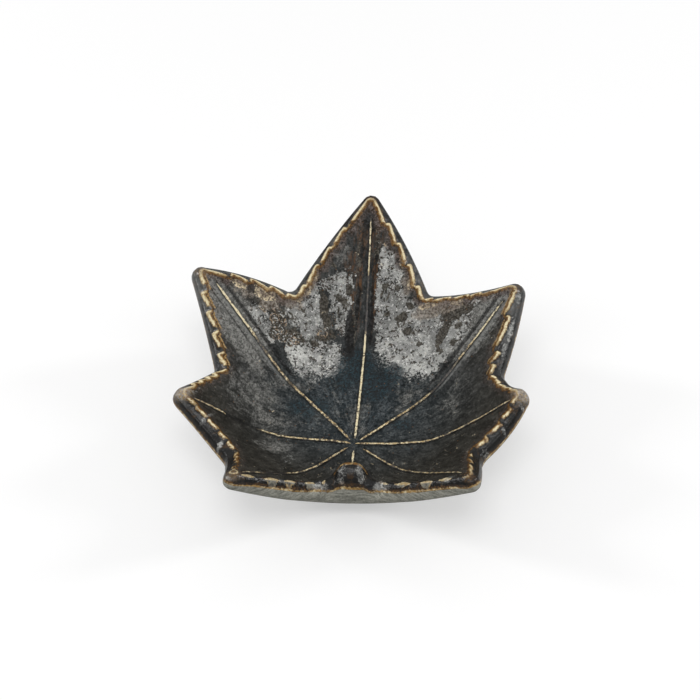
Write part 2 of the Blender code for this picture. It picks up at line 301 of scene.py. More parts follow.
def rimWays(points, laps, notches):
    # from each point of the margin: square to it, out over the lap and down through the clay
    place = bowlPoint(points)
    up = bowlNormal(points)
    square = unit(np.cross(up, np.roll(place, -1, 0) - np.roll(place, 1, 0)))
    depth = clayDepth(points)
    out = square * laps[:, None]
    down = -up * depth[:, None]
    lipShare = np.zeros(len(points))
    lip = np.nonzero(notches)[0]
    first, last = place[lip[0]] + out[lip[0]], place[lip[-1]] + out[lip[-1]]
    across = last - first
    bulge = unit(np.array([across[1], -across[0], 0.0])) * leaf["lipBulge"]
    t = np.clip((place[lip] - first) @ across / (across @ across), 0, 1)[:, None]
    arc = 4 * t * (1 - t)
    goal = first + across * t - bulge * arc
    goal[:, 2] = (goal[:, 2] + place[lip, 2]) / 2
    share = 1 - (1 - arc) ** leaf["lipFullness"]
    straight = np.column_stack([np.zeros((len(lip), 2)), -depth[lip]])
    out[lip] = goal - place[lip]
    down[lip] = down[lip] * (1 - share) + straight * share
    lipShare[lip] = share[:, 0]
    return place, square, out, down, lipShare


# Each vein: direction, start and end, bow, widths, and the stretches that are worn, gone or bright; on the
# long vein the bright stretch from 37 to 46 mm is a painted highlight
veins = {
    "centre_vein": {
        "degrees": 0.5, "end": 0.940, "bow": 0.004, "low": ((43, 62),), "wide": 1.15, "tipWide": 0.8,
        "bright": ((0, 44, 0.8), (37, 46, 1.2), (60, 80, 0.6))},
    "back_right_vein": {
        "degrees": 46.9, "end": 0.765, "bow": 0.012, "wide": 0.95, "tipWide": 1.25, "low": ((30, 44),),
        "bright": ((48, 66, 0.6),)},
    "side_right_vein": {"degrees": 84.0, "end": 0.600, "bow": 0.022, "start": 0.2},
    "front_right_vein": {"degrees": 125.0, "end": 0.515, "bow": 0.000, "start": 3.6, "wide": 0.85},
    "front_left_vein": {
        "degrees": 229.6, "end": 0.515, "bow": -0.012, "start": 2.6, "wide": 0.85, "low": ((25, 37),)},
    "side_left_vein": {"degrees": 270.6, "end": 0.615, "bow": 0.016, "gone": (31.6, 40.5), "start": 1.2},
    "back_left_vein": {
        "degrees": 312.9, "end": 0.805, "bow": 0.020, "tipWide": 1.6, "low": ((42, 50),),
        "bright": ((48, 70, 0.9),)},
    "stalk_vein": {
        "degrees": 181.0, "end": 0.108, "bow": 0.000, "start": 3.0, "wide": 1.3, "bright": ((0, 12, 0.5),)},
}
veinForm = {"start": 2.2, "width": 1.02, "tipWidth": 0.80, "height": 0.42, "sunk": 0.18, "across": 11}


def veinPath(v, step):
    start = v.get("start", veinForm["start"])
    end = v["end"] * leaf["reach"]
    t = np.linspace(0, 1, max(6, int((end - start) / step)))[:, None]
    ahead, aside = polar(v["degrees"], 1.0), polar(v["degrees"] + 90, 1.0)
    return ahead * (start + (end - start) * t) + aside * v["bow"] * end * 4 * t * (1 - t)


def besideVein(xy, name):
    # distance from a vein, positive on its right, and how far out along it
    path = veinPath(veins[name], 1.5)
    ahead = unit(np.gradient(path, axis=0))
    delta = xy[:, None, :] - path[None]
    near = np.linalg.norm(delta, axis=2).argmin(1)
    away = delta[np.arange(len(xy)), near]
    side = away[:, 0] * ahead[near, 1] - away[:, 1] * ahead[near, 0]
    return np.sign(side) * np.linalg.norm(away, axis=1), np.linalg.norm(path[near], axis=1)


# offset to the vein's right, depth, width, from and to along the vein
grooves = {
    "centre_vein": ((0.0, 0.45, 2.4, 34, 76), (-3.4, -0.14, 1.4, 40, 70), (3.6, -0.16, 1.5, 40, 70)),
    "back_left_vein": (
        (0.0, 0.20, 1.5, 12, 68), (3.0, 0.34, 0.9, 30, 66), (-2.6, 0.20, 0.8, 22, 60),
        (-5.2, 0.22, 0.9, 16, 48), (-8.0, 0.20, 1.0, 14, 44), (1.5, -0.16, 0.7, 30, 64)),
    "back_right_vein": (
        (0.0, 0.20, 1.5, 12, 64), (-3.0, 0.34, 0.9, 30, 64), (-5.6, 0.20, 1.0, 26, 58),
        (3.4, 0.18, 1.0, 18, 60)),
    "side_left_vein": ((0.0, 0.16, 1.5, 8, 48),),
    "side_right_vein": ((0.0, 0.16, 1.5, 8, 48),),
    "front_left_vein": ((0.0, 0.16, 1.4, 8, 40),),
    "front_right_vein": ((0.0, 0.16, 1.4, 8, 40),),
}
grooveFade = 6.0
unevenness = ((0.26, 13.0, 1.0), (0.10, 5.0, 2.0), (0.035, 1.8, 6.0))  # height, size, seed


def relief(xy):
    # valleys and drag marks beside the veins, and the unevenness of a pressed slab
    out = np.zeros(len(xy))
    for name, rows in grooves.items():
        gap, far = besideVein(xy, name)
        for offset, depth, wide, low, high in rows:
            along = smooth((far - low) / grooveFade) * smooth((high - far) / grooveFade)
            out -= depth * along * np.exp(-((gap - offset) / wide) ** 2)
    return out + sum(height * handMade(flatten(xy), size, seed) for height, size, seed in unevenness)


def surface(xy):
    return bowlPoint(xy) + bowlNormal(xy) * relief(xy)[:, None]


points, laps, notches, sides, alongs = leafOutline()
marks = rimMarks(sides, alongs, points, notches)
swing = ringSmooth(np.where(notches, 0.0, marks["swing"]), 1.2)
for name, wide in (("glow", 1.5), ("halo", 12.0), ("twin", 8.0), ("plain", 8.0)):
    marks[name] = ringSmooth(marks[name], wide)

# closer samples where the serrated line steps
stride = np.linalg.norm(np.roll(points, -1, 0) - points, axis=1)
steep = ringSmooth(np.abs(np.roll(swing, -1) - swing) / np.maximum(stride, 0.02), 3.0)
weight = stride * (1 + 1.3 * np.clip(steep / 1.5, 0, 1))
total = np.concatenate([[0], np.cumsum(weight)])
samples = int(total[-1] / leaf["sampleStep"])
picks = np.interp(np.arange(samples) / samples * total[-1], total, np.arange(len(points) + 1))


def pick(values):
    # values along the margin, at the samples
    closed = np.concatenate([values, values[:1]]).astype(float)
    low = picks.astype(int)
    part = (picks - low).reshape([-1] + [1] * (closed.ndim - 1))
    return closed[low] * (1 - part) + closed[low + 1] * part


densePlace, denseSquare, denseOut, denseDown, denseLip = rimWays(points, laps, notches)
rimCurve, lipCurve = curveAt(rimShape, leaf["rimSteps"]), curveAt(lipShape, leaf["rimSteps"])
margin, lipShare, outWay, downWay, plainHere = (
    pick(values) for values in (points, denseLip, denseOut, denseDown, marks["plain"]))
place = bowlPoint(margin)
hollows = np.array([polar(d, s * leaf["reach"]) for kind, d, s, _ in corners if kind == "notch"])
toHollow = np.linalg.norm(margin[:, None] - hollows[None], axis=2).min(1)
soften = (1 - smooth((toHollow - 2.5) / 3.0))[:, None]
# the glaze line is high between the two front tips
frontSide = np.array([6 <= s <= 10 for s in sides], float)
frontShare = np.clip(pick(ringSmooth(frontSide, glazeLine["turn"] / leaf["sideStep"])), 0, 1)
lineHere = glazeLine["side"] + (glazeLine["front"] - glazeLine["side"]) * frontShare
stubShare = lipShare * (1 - smooth((np.abs(margin[:, 0] - stub["middle"]) / stub["half"] - 0.70) / 0.80))
lineHere = lineHere * (1 - stubShare) + glazeLine["lip"] * stubShare

# the serrated line in space, and how far each point near the rim lies from it
onRim = np.clip(swing / laps, 0, 1)
topCurve = rimCurve[:leaf["topSteps"]]
dropAt = np.interp(onRim, topCurve[:, 0], topCurve[:, 1])
serrated = densePlace + denseSquare * swing[:, None] + denseDown * (dropAt * (1 - denseLip))[:, None]
closed = np.vstack([serrated, serrated[:1]])
travel = np.concatenate([[0], np.cumsum(np.linalg.norm(np.diff(closed, axis=0), axis=1))])
finePlaces = np.arange(0, travel[-1], 0.10)
fine = np.column_stack([np.interp(finePlaces, travel, closed[:, k]) for k in range(3)])


def treeOf(places):
    tree = kdtree.KDTree(len(places))
    for n, p in enumerate(places):
        tree.insert(p, n)
    tree.balance()
    return tree


marginTree, serratedTree = treeOf(densePlace), treeOf(fine)


def edgeDistance(places):
    # inside the serrated line is positive
    out, lipNear = np.empty(len(places)), np.empty(len(places))
    for n, p in enumerate(places):
        _, near, _ = marginTree.find(p)
        outward = float((p - densePlace[near]) @ denseSquare[near])
        away = serratedTree.find(p)[2]
        out[n] = away if outward < swing[near] else -away
        lipNear[n] = denseLip[near]
    return out, lipNear


def rimForm(away, fade):
    # a low bead along the serrated line, and the step down outside it
    bead = rim["bead"] * np.exp(-((away - rim["beadWide"]) / rim["beadWide"]) ** 2)
    return (bead - rim["stepDown"] * smooth(-away / rim["stepWidth"])) * fade


body = {name: [] for name in ("points", "edge", "down", "outward", "arch")}


def addRing(points, edge, down, outward, arch=0.0):
    body["points"].append(points)
    for name, value in (("edge", edge), ("down", down), ("outward", outward), ("arch", arch)):
        body[name].append(np.broadcast_to(value, samples))


edgeShare, easing = leaf["edgeShare"], 0.03
innerShares = np.concatenate([
    np.linspace(leaf["middleShare"], edgeShare, leaf["ringsInside"], endpoint=False),
    np.linspace(edgeShare, 1.0, leaf["ringsNearEdge"], endpoint=False),
])
for share in innerShares:
    xy = middle + (margin - middle) * share
    p, away = surface(xy), farOff
    if share >= edgeShare - easing:
        away, lipNear = edgeDistance(p)
        fade = smooth((share - edgeShare + easing) / easing) * (1 - lipNear) * (1 - plainHere)
        p = p + bowlNormal(xy) * rimForm(away, fade)[:, None]
    inward = (1 - share) * np.linalg.norm(margin - middle, axis=1)
    addRing(p, away, np.minimum(-lineHere, -0.4) - (1 - share), -inward)

up = bowlNormal(margin)
reliefHere = relief(margin)
for k in range(leaf["rimSteps"]):
    shares = rimCurve[k] * (1 - lipShare[:, None]) + lipCurve[k] * lipShare[:, None]
    p = place + outWay * shares[:, :1] + downWay * shares[:, 1:]
    p = ringSmooth(p, 1.6, soften) if shares[:, 0].max() > 0.3 else p
    # the front wall runs on evenly below the notch
    span = np.abs(p[:, 0] - wallEven["middle"])
    low = smooth((shares[:, 1] - wallEven["down"]) / wallEven["over"]) * (p[:, 1] < 0)
    low = low * smooth((wallEven["half"] - span) / wallEven["fade"])
    if low.max() > 0.01:
        sure = (span > wallEven["half"] - wallEven["ends"]) | (span < wallEven["core"])
        trusted = (p[:, 1] < 0) & (span < wallEven["half"]) & sure
        for axis in (1, 2):
            curve = np.polyfit(p[trusted, 0], p[trusted, axis], 2)
            p[:, axis] += low * (np.polyval(curve, p[:, 0]) - p[:, axis])
    # the stub stands out of the notch between two small valleys
    aside = np.abs(p[:, 0] - stub["middle"]) / stub["half"]
    bulge = np.clip(1 - aside ** stub["squareness"], 0, 1) ** stub["dome"]
    dent = np.exp(-((aside - stub["valleyAt"]) / stub["valleyWide"]) ** 2)
    u = k / (leaf["rimSteps"] - 1)
    fallen = smooth((u - stub["low"]) / (stub["high"] - stub["low"]))
    onStub = lipShare * smooth(u / stub["low"]) * (1 - fallen)
    p[:, 2] += onStub * (stub["up"] * bulge - stub["valley"] * dent)
    p[:, 1] -= onStub * stub["out"] * bulge
    away, lipNear = edgeDistance(p)
    away = np.where(lipShare > 0.3, -np.hypot(shares[:, 0], shares[:, 1]) * farOff, away)
    fade = (1 - smooth((shares[:, 1] - rim["fadeFrom"]) / rim["fadeOver"])) * (1 - lipNear) * (1 - plainHere)
    lift = rimForm(away, fade) + reliefHere * (1 - smooth(shares[:, 1] / 0.5))
    lipDrop = lipShare * np.clip(0.93 - shares[:, 0], 0, 1) * 0.9
    arch = (lipShare > 0.3) * np.exp(-((u - stub["low"]) / stub["archWide"]) ** 2)
    arch = arch * (1 - smooth((aside - 1.0) / 0.25))
    addRing(p + up * lift[:, None], away, np.clip(shares[:, 1], 0, 1) - lineHere - lipDrop,
            np.hypot(shares[:, 0] * leaf["lap"], shares[:, 1] * clayDepth(margin)), arch)

for share in np.linspace(leaf["underShare"], leaf["middleShare"], leaf["ringsUnder"]):
    xy = middle + (margin - middle) * share
    p = bowlPoint(xy) - bowlNormal(xy) * clayDepth(xy)[:, None]
    p = p + bowlNormal(xy) * (0.15 * handMade(p, 9.0, 8.0) * smooth((1 - share) * 8))[:, None]
    addRing(p, -farOff, 1.02 - lineHere + (1 - share), 20.0)

rings = len(body["points"])
floorUnder = bowlPoint(floorMiddle) - np.array([[0, 0, clayDepth(floorMiddle)[0]]])
allPoints = np.vstack(body["points"] + [surface(floorMiddle), floorUnder])
faces = gridFaces(rings, samples)
for n in range(samples):
    m = (n + 1) % samples
    lastRing = (rings - 1) * samples
    faces += [(m, n, rings * samples), (lastRing + n, lastRing + m, rings * samples + 1)]
print("leaf body", len(allPoints), "points")


glaze = {
    "warmBlack": (0.02, 0.018, 0.014), "coolBlack": (0.022, 0.03, 0.034), "soot": (0.006, 0.006, 0.006),
    "umber": (0.053, 0.049, 0.04), "slate": (0.08, 0.093, 0.1), "fleckLight": (0.31, 0.3, 0.27),
    "ash": (0.28, 0.275, 0.255), "ashDark": (0.078, 0.078, 0.072), "silverMid": (0.205, 0.207, 0.198),
    "silverLight": (0.58, 0.58, 0.55), "silverWhite": (0.86, 0.85, 0.82), "teal": (0.004, 0.02, 0.028),
    "tealLight": (0.028, 0.062, 0.075), "lace": (0.56, 0.44, 0.31), "lump": (0.78, 0.65, 0.44),
    "blush": (0.32, 0.28, 0.235), "hollow": (0.03, 0.026, 0.02), "hollowLight": (0.095, 0.085, 0.068),
    "rust": (0.17, 0.08, 0.032), "bark": (0.036, 0.024, 0.016), "barkLight": (0.095, 0.075, 0.057),
    "bandBlack": (0.004, 0.004, 0.004), "bandGrey": (0.042, 0.044, 0.043),
    "bandAmber": (0.055, 0.027, 0.008), "cream": (0.82, 0.72, 0.47), "tan": (0.44, 0.31, 0.14),
    "honey": (0.33, 0.2, 0.065), "amber": (0.2, 0.095, 0.022), "mauve": (0.17, 0.13, 0.115),
    "bulb": (0.46, 0.41, 0.355), "tongue": (0.24, 0.23, 0.185), "clay": (0.38, 0.375, 0.325),
    "clayDark": (0.145, 0.147, 0.125),
}

# areas of silver seen from above: strength and outline
plates = (
    (1, (
        (4.2, 67.5), (10, 66.6), (12.1, 60), (14.1, 53.2), (20.4, 48), (28.1, 45.7), (36.6, 46.2),
        (36, 42.5), (34.6, 38), (32, 34.8), (28.3, 32.2), (23.7, 27.7), (14.8, 28.9), (8.9, 32.6),
        (4.9, 38.5), (3.7, 47.9), (3.9, 56.3),
    )),
    (1, (
        (-25.9, 35.6), (-20.9, 38.3), (-13.7, 39.8), (-7.6, 38.7), (-5.4, 36), (-7, 31.1), (-10.7, 27.5),
        (-17.3, 26.8), (-21.5, 29),
    )),
    (1.1, (
        (-25.8, 48.2), (-21.7, 50.9), (-15.9, 55.4), (-14.4, 48.7), (-14.2, 43.2), (-21.1, 39.6),
        (-25.2, 43.3),
    )),
    (1.1, (
        (-14.8, 57.1), (-11, 59.7), (-6.4, 61.3), (-5.4, 58.3), (-5.8, 53.2), (-4.1, 48.3), (-5.8, 43.4),
        (-9.3, 45.4), (-11.8, 52.5),
    )),
    (1.2, (
        (-36.6, 43.6), (-32.3, 44), (-30.1, 39.6), (-30.3, 36.2), (-34.5, 36.6),
    )),
)
# dark patches: x, y, half width, half length, turn if any
blotches = (
    (30.9, 44.6, 5.4, 1.8, 8), (26.3, 39.6, 1.8, 4, -14), (28, 45.4, 2.2, 2), (12.7, 48, 2.2, 1.3),
    (15, 43.5, 1.4, 1.5), (15.3, 50.7, 1.9, 0.8, -30), (31.4, 40.4, 1.2, 1, 20),
    (30.2, 36, 1.5, 0.8, -20), (18.9, 38.8, 1.1, 0.8), (6.8, 57.3, 1.3, 0.9), (10.9, 56.4, 1.1, 0.9),
    (7.6, 49.4, 1.3, 0.8), (26, 34.5, 1.6, 0.6, -40), (0.4, 77.5, 2, 3.6), (-2.6, 66, 1, 4),
    (3.2, 68, 0.9, 4), (-28.7, 42, 2.4, 2.2), (-28.7, 37.4, 2.4, 1.4, 30), (-23.6, 39.9, 2.6, 1.5, 20),
    (-13.7, 50.8, 1.4, 4.2), (-12.4, 46.1, 1.4, 2.2), (-8.3, 53.3, 2.2, 1.1),
    (-11.6, 62.8, 2.2, 0.6, -35), (-16.2, 64, 2, 0.6, 30), (-16.3, 38.9, 1.6, 0.8),
    (-13.7, 41, 2.2, 1.1), (-7.4, 37.4, 0.55, 0.55), (-6.6, 50.9, 1.3, 0.7), (-3.8, 43.3, 1.2, 5.5),
    (-4.5, 38.3, 1.6, 1), (-20.9, 39.2, 1.6, 0.8), (-16.2, 38.3, 1.4, 0.8), (-14.6, 54.3, 1.2, 0.9),
    (-5.6, 56, 0.9, 1.6), (-20.2, 47.2, 1.6, 0.5, -35), (-11, 43, 2.6, 1, -20), (-2.6, 52, 0.7, 6),
)
# other zones of the glaze: x, y, half width, half length, strength, turn if any
zones = {
    "teal": (
        (-1.5, 32, 7.5, 7.5, 1), (4.8, 24, 6.5, 7, 0.9), (-7, 25, 5.5, 5, 0.75), (-16, 13.5, 8, 6, 0.8),
        (10.5, 30, 5, 4.5, 0.85), (15, 8.5, 5, 3, 0.7), (2, 12, 5, 7, 0.5), (20, -3, 10, 3.5, 0.4),
        (-20, 25, 6, 4, 0.45),
    ),
    "rust": (
        (-2.3, 57, 0.9, 11, 0.8), (3, 57, 0.9, 11, 0.8), (-4.6, 53, 1.2, 8, 0.5),
        (-1.5, 71.5, 3, 6, 0.5), (2, 71.5, 3, 6, 0.5), (27.7, 46.1, 3, 4, 0.5, -30),
        (11.4, 48.4, 2, 3, 0.6), (-5, 62, 2.2, 6, 0.5),
    ),
    "lace": (
        (-28.4, 41.6, 2.8, 5.4, 0.9, 10), (-24.5, 37.6, 3.4, 2, 0.8), (-33, 43.5, 3, 2, 0.6),
        (4, 70, 3, 6, 0.3), (-14, 43, 3, 2.2, 0.55), (-22, 40, 3, 1.6, 0.5),
    ),
    "lump": (
        (-33.2, 49, 3, 2.2, 1.1), (-27.4, 50.6, 2.2, 1.2, 1.1), (-23, 50.8, 2, 1.2, 1.1),
        (-41.2, 48, 3, 1.2, 0.7), (-19.6, 55, 1.6, 2.6, 1.1, -20), (-17.6, 58.5, 1.4, 2, 0.8, -20),
        (22.7, 49.8, 4, 1, 0.75), (15.4, 57, 1.6, 1.6, 0.9), (12, 63.5, 1.4, 2.4, 0.5),
        (31, 48.2, 3, 1, 0.5),
    ),
    "blush": (
        (-32, 46.5, 4, 3, 0.8), (-26, 48.5, 6, 2, 0.7), (-40, 46.5, 4, 2.5, 0.6), (22, 48, 6, 2.4, 1),
        (14, 57, 2, 3, 0.8), (29, 47, 4, 1.8, 0.7), (12, 66, 2, 3, 0.5),
    ),
    "haze": (
        (-41.5, 36.5, 7, 13, 1.5, 46), (39, 40, 6.5, 11, 1.15, -44), (-36, 28, 6, 8, 0.6, 40),
        (-9.5, 66, 3.5, 8, 0.5, 12), (12, 56, 5, 8, 0.8, -25), (-20, 44, 10, 10, 0.8),
        (20, 42, 10, 10, 0.8), (0, 16, 26, 14, 0.34), (18, 22, 8, 7, 0.5), (-22, 24, 9, 7, 0.5),
        (-31, 12, 8, 12, 0.62, 30), (-25, -4.5, 5, 3.5, 0.5), (30, 16, 8, 8, 0.34),
    ),
    # valley: near black along the long vein's crease, partly painted shade, and a painted dark reflection on
    # the middle of the stub
    "valley": (
        (-0.1, -13.4, 1.3, 3, 1), (-4.6, 43, 1.5, 7.5, 1, 4), (-5, 37.5, 2.2, 2.4, 1),
        (-2.4, 52, 0.9, 7, 0.7), (2.4, 50, 0.9, 12, 0.7), (3.6, 40, 0.8, 6, 0.5), (0.4, 77, 2.6, 4.5, 1),
        (-1.8, 68, 0.9, 6, 0.55), (3, 66, 0.9, 6, 0.5),
    ),
    # bulb: paler glaze on the tips, partly a painted highlight
    "bulb": (
        (-54, 1.6, 2.4, 2.4, 1.5), (52.6, 7.2, 2.6, 2.6, 1.5), (-34.8, -29.5, 2.2, 2, 0.35),
        (-54, 47.5, 2, 2, 0.4),
    ),
    "bright": ((-22.5, 34.5, 4, 3.4, 1), (14, 33, 8, 5, 0.4)),
    # painted highlights: pale grey smears where the lamps would glint on the rim bands, on both sides of the
    # stub and on the tips
    "paintedHighlight": (
        (-46, -4.5, 0.7, 4.5, 0.62, -35), (-50.5, 3.5, 0.9, 1.4, 0.6), (46.5, -4, 0.7, 4, 0.5, 35),
        (53, 2, 0.8, 2.4, 0.55, 30), (-2.9, -14.8, 1.5, 4.4, 0.5), (2.9, -14.6, 1.5, 4.4, 0.62),
        (48.6, 33.5, 0.9, 4, 0.8, -14), (46.6, 27, 0.8, 2.4, 0.75, -14), (50.6, 43, 1, 2, 0.6, -10),
        (54.3, 6.5, 0.8, 2.4, 0.7), (42.5, -13, 1.2, 2.6, 0.6, 35), (-8.7, -20.3, 2.8, 1.8, 0.9),
        (9.3, -19.6, 2.6, 2.2, 1), (-36, -30.8, 0.8, 0.7, 1), (-41.2, -13.2, 0.8, 2.2, 0.8, -30),
        (-21, -8.5, 3, 2.4, 0.36, 30), (31, -25.5, 2.4, 1, 0.6, 10), (-20.5, -24, 1.2, 1, 0.6),
    ),
    "cool": ((-1, 18, 30, 24, 1), (0, 55, 26, 20, 0.45)),
}
# small rings left by bubbles: x, y, radius
bubbles = (
    (-6.6, 49.8, 2.3), (28.2, 42, 1.1), (6.6, 54.6, 1.3), (-10.6, 47, 1), (-24.6, 44.6, 0.9),
    (12.5, 46.5, 1.2),
)
bubbleWide = 0.42
# the pale ring on the left front tip
pearl = {"x": -34.4, "y": -28.5, "radius": 1.25, "squash": 1.5, "wide": 0.40}


class Value:
    # a node's output that can be used in plain sums
    def __init__(self, nodes, socket):
        self.nodes, self.socket = nodes, socket

    def __add__(self, other):
        return self.nodes.math("ADD", self, other)

    def __sub__(self, other):
        return self.nodes.math("SUBTRACT", self, other)

    def __rsub__(self, other):
        return self.nodes.math("SUBTRACT", other, self)

    def __mul__(self, other):
        return self.nodes.math("MULTIPLY", self, other)

    def __abs__(self):
        return self.nodes.math("ABSOLUTE", self)

    def most(self, other):
        return self.nodes.math("MAXIMUM", self, other)


class Nodes:
    # a short way to write a node tree
    def __init__(self, tree):
        self.tree = tree

    def put(self, socket, value):
        value = glaze[value] if isinstance(value, str) else value
        value = value.socket if isinstance(value, Value) else value
        if isinstance(value, bpy.types.NodeSocket):
            self.tree.links.new(value, socket)
        elif isinstance(value, tuple) and socket.type == "RGBA":
            socket.default_value = (*value, 1)
        else:
            socket.default_value = value

    def node(self, kind, inputs=(), output=0, **settings):
        n = self.tree.nodes.new("ShaderNode" + kind)
        for name, value in settings.items():
            setattr(n, name, value)
        for key, value in inputs.items() if isinstance(inputs, dict) else enumerate(inputs):
            self.put(n.inputs[key], value)
        return Value(self, n.outputs[output])

    def math(self, operation, *values, clamp=False):
        return self.node("Math", values, operation=operation, use_clamp=clamp)

    def vector(self, operation, a, b=(0.0, 0.0, 0.0), output=0):
        return self.node("VectorMath", (a, b), output, operation=operation)

    def between(self, value, low, high, outLow=0.0, outHigh=1.0):
        return self.node("MapRange", (value, low, high, outLow, outHigh), interpolation_type="SMOOTHSTEP")


class Finish(Nodes):
    # a material, with its colour built up layer by layer
    def __init__(self, name):
        self.material = bpy.data.materials.new(name)
        self.material.use_nodes = True
        super().__init__(self.material.node_tree)
        self.shader = self.tree.nodes["Principled BSDF"]
        self.place = self.vector("MULTIPLY", self.node("TexCoord", (), "Object"), (1 / mm,) * 3)

    def cloud(self, size, detail, rough, at=None, output="Fac"):
        return self.node("TexNoise", {
            "Vector": at or self.place, "Scale": 1 / size, "Detail": detail, "Roughness": rough}, output)

    def warped(self, size, amount):
        shift = self.vector("SUBTRACT", self.cloud(size, 3, 0.5, output="Color"), (0.5, 0.5, 0.5))
        return self.vector("ADD", self.place, self.vector("MULTIPLY", shift, (amount,) * 3))

    def cells(self, size, feature="DISTANCE_TO_EDGE", at=None, output="Distance"):
        inputs = {"Vector": at or self.place, "Scale": 1 / size}
        return self.node("TexVoronoi", inputs, output, feature=feature)

    def painted(self, name):
        return self.node("Attribute", (), "Fac", attribute_name=name)

    def mix(self, share, a, b):
        return self.node("Mix", {0: share, 6: a, 7: b}, 2, data_type="RGBA")

    def two(self, value, low, high, a, b):
        return self.mix(self.between(value, low, high), a, b)

    def lay(self, share, colour):
        self.colour = self.mix(share, self.colour, colour)

    def blend(self, share, a, b):
        return self.node("Mix", {0: share, 2: a, 3: b}, data_type="FLOAT")

    def ramp(self, value, stops):
        n = self.tree.nodes.new("ShaderNodeValToRGB")
        self.put(n.inputs[0], value)
        marks = n.color_ramp.elements
        while len(marks) < len(stops):
            marks.new(0.5)
        for mark, (at, colour) in zip(marks, stops):
            mark.position = at
            mark.color = (*glaze[colour], 1)
        return n.outputs[0]

    def bump(self, height, depth, strength, under=None):
        inputs = {"Strength": strength, "Distance": depth * mm, "Height": height}
        return self.node("Bump", inputs if under is None else {**inputs, "Normal": under})

    def done(self, inputs):
        for name, value in inputs.items():
            self.put(self.shader.inputs[name], value)
        return self.material


def shareClouds(f):
    # the noises and painted values that more than one layer of the glaze uses
    f.swirl, f.curl = f.warped(7.0, 6.0), f.warped(2.2, 2.0)
    f.broad = f.cloud(6.0, 6, 0.62, at=f.swirl)
    f.patch = f.cloud(2.4, 6, 0.66, at=f.curl)
    f.cluster = f.cloud(3.2, 3, 0.6, at=f.curl)
    f.bead = f.cloud(1.5, 3, 0.6)
    f.grain = f.cloud(0.7, 5, 0.72)
    f.dots = f.cloud(0.66, 3, 0.6, at=f.warped(0.8, 0.5))
    f.sparks = f.cloud(0.8, 3, 0.65, at=f.vector("ADD", f.place, (31.0, 17.0, 5.0)))
    f.speck = f.cloud(0.45, 4, 0.75, at=f.warped(0.8, 0.5))
    f.pitted = f.cells(0.55, "F1", output="Color") * 0.2 + f.cloud(1.0, 5, 0.75, at=f.warped(1.4, 1.0)) * 0.8
    f.fine = f.speck * 0.45 + f.pitted * 0.55
    f.haze, f.cool = f.painted("haze"), f.painted("cool")
    f.edgeAt, f.downAt = f.painted("edge"), f.painted("down")
    f.grit = f.math("ADD", f.cool * 0.4 + f.haze * 0.3, 0.22, clamp=True)
    # drag marks run out from where the veins meet
    rays = [f.painted(name) * by for name, by in (("aheadX", 26.0), ("aheadY", 26.0), ("far", 0.16))]
    bent = f.vector("MULTIPLY", f.warped(5.0, 1.6), (0.25, 0.25, 0.25))
    f.drag = f.cloud(1.5, 5, 0.65, at=f.vector("ADD", f.node("CombineXYZ", rays), bent))


def layGround(f):
    broad, patch, grain, speck, pitted, fine = f.broad, f.patch, f.grain, f.speck, f.pitted, f.fine
    haze, cool, grit, drag, swirl, rust = f.haze, f.cool, f.grit, f.drag, f.swirl, f.painted("rust")
    # near-black glaze, warmer on the lobes and cooler on the floor
    f.colour = f.mix(cool, "warmBlack", "coolBlack")
    tint = f.mix(cool, "umber", "slate")
    veil = f.between(broad * 0.5 + drag * 0.5, 0.43, 0.6)
    f.lay(veil * f.between(patch + grain, 0.75, 1.15, 0.35, 1.0), tint)
    f.lay(f.between(fine, 0.53, 0.43) * grit, "soot")
    dust = f.between(speck * 0.5 + pitted * 0.5, 0.56, 0.64)
    f.lay(dust * (grit * 0.55), "fleckLight")
    # grey haze where the glaze starts to crystallise
    hazy = haze * 0.9 + patch * 0.9 - 0.45
    hazy = hazy + drag * 0.7 + f.cloud(9.0, 3, 0.5, at=swirl) * 1.3 - 1.0
    hazy = f.between(hazy + grain * 0.4 - 0.2, 0.22, 0.85)
    f.lay(hazy, f.two(fine, 0.44, 0.58, "ashDark", "ash"))
    # dark brown and rusty streaks
    streak = f.cloud(0.9, 4, 0.7, at=f.vector("MULTIPLY", f.place, (1.0, 0.28, 0.28)))
    f.lay(f.between(rust + patch * 0.8 - 0.4, 0.25, 0.6) * 0.85, "bark")
    f.lay(rust * f.between(streak, 0.46, 0.6) * 0.85, "rust")


